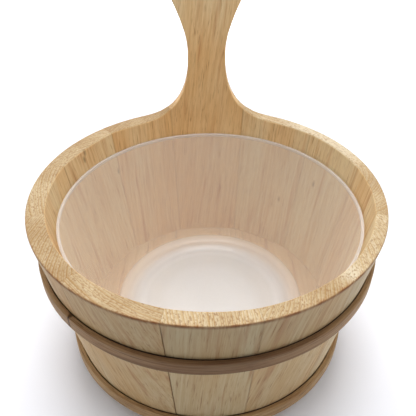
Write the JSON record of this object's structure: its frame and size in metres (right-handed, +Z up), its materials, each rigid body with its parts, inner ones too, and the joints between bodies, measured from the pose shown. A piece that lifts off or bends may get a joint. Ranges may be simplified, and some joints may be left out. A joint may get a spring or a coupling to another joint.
{
  "type": "sauna bucket",
  "caption": "Tapered wooden sauna bucket: upright staves bound by bent-wood hoops, a long stave at the back rising as a waisted handle, and a lift-out frosted plastic liner.",
  "frame": {"origin": "on the surface the bucket stands on, under the middle of its box, between the front of the rim and the back of the handle", "axes": "+Z up along the bucket's axis, +Y back towards the handle, +X to the right as seen from the front"},
  "size_m": [0.2596, 0.2828, 0.2896],
  "materials": {
    "stave_wood": "planed and sanded, unfinished pale wood",
    "bottom_wood": "planed pale wood",
    "hoop_wood": "bent strip of brown wood, sanded",
    "liner_plastic": "frosted translucent moulded plastic"
  },
  "bodies": {
    "bucket": {"handle_stave": "stave_wood", "stave_01": "stave_wood", "stave_02": "stave_wood", "stave_03": "stave_wood", "stave_04": "stave_wood", "stave_05": "stave_wood", "stave_06": "stave_wood", "stave_07": "stave_wood", "stave_08": "stave_wood", "stave_09": "stave_wood", "stave_10": "stave_wood", "stave_11": "stave_wood", "bottom_plank_left": "bottom_wood", "bottom_plank_middle": "bottom_wood", "bottom_plank_right": "bottom_wood", "bottom_dowel_1": "bottom_wood", "bottom_dowel_2": "bottom_wood", "bottom_dowel_3": "bottom_wood", "bottom_dowel_4": "bottom_wood", "hoop_upper": "hoop_wood", "hoop_lower": "hoop_wood"},
    "liner": {"liner": "liner_plastic"}
  },
  "joints": [
    {"name": "liner_lift", "type": "slide", "parent": "bucket", "child": "liner", "axis": [0, 0, 1], "range_m": [0, 0.13]}
  ]
}
